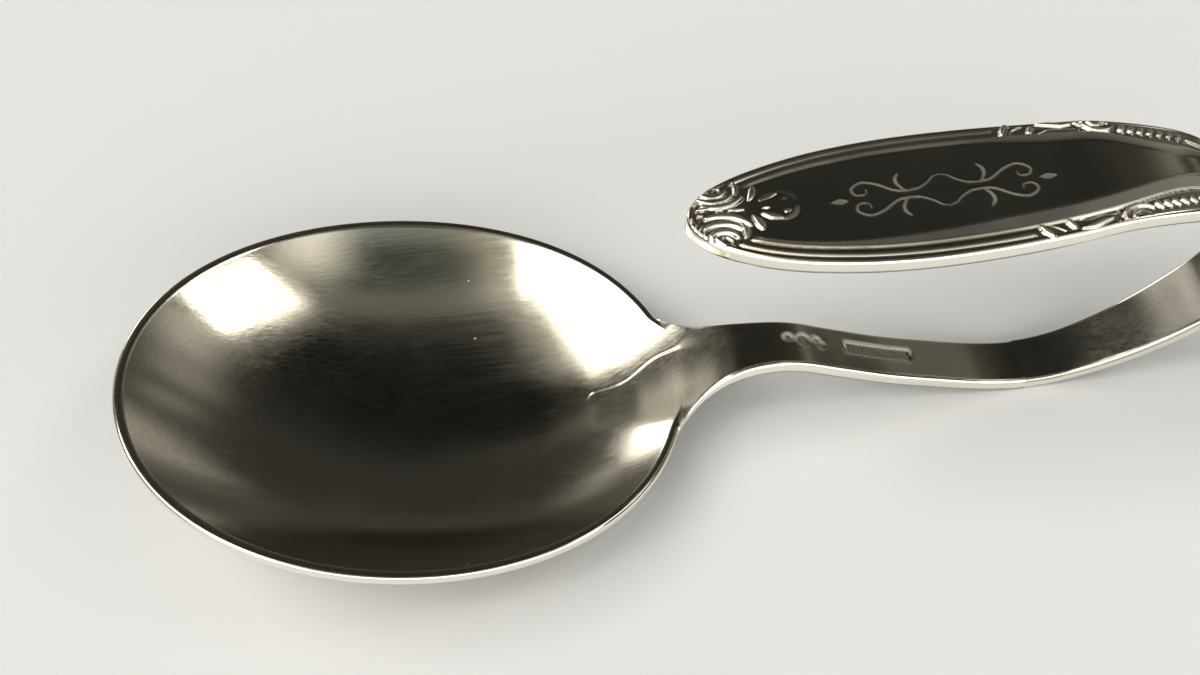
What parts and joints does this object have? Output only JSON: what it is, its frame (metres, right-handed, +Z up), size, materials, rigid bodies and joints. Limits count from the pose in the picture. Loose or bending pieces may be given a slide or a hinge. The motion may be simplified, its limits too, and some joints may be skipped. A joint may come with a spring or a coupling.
{
  "type": "baby spoon",
  "caption": "Silver baby spoon: broad oval bowl, slim humped shank, and a strap that turns back over the shank as a finger loop and ends in a long plate with a struck border.",
  "frame": {"origin": "the middle of the worn flat under the bowl, on the table", "axes": "+X from the bowl towards the loop, +Z up"},
  "size_m": [0.0838, 0.0326, 0.0224],
  "materials": {
    "polished": "polished silver, a little scratched",
    "silver": "silver with a soft shine",
    "worn": "worn struck ornament, darker in its hollows"
  },
  "bodies": {
    "root": {"bowl": "polished", "bowl_tongue": "polished", "neck": "silver", "shank": "silver", "finger_loop": "silver", "handle_plate": "silver", "tip_volute_near": "worn", "tip_volute_far": "worn", "tip_palmette": "worn", "outer_thread_near": "silver", "outer_thread_far": "silver", "inner_thread_near": "silver", "inner_thread_far": "silver", "shoulder_scroll_near": "worn", "shoulder_scroll_far": "worn", "shoulder_beads_near": "worn", "shoulder_beads_far": "worn"}
  },
  "joints": []
}
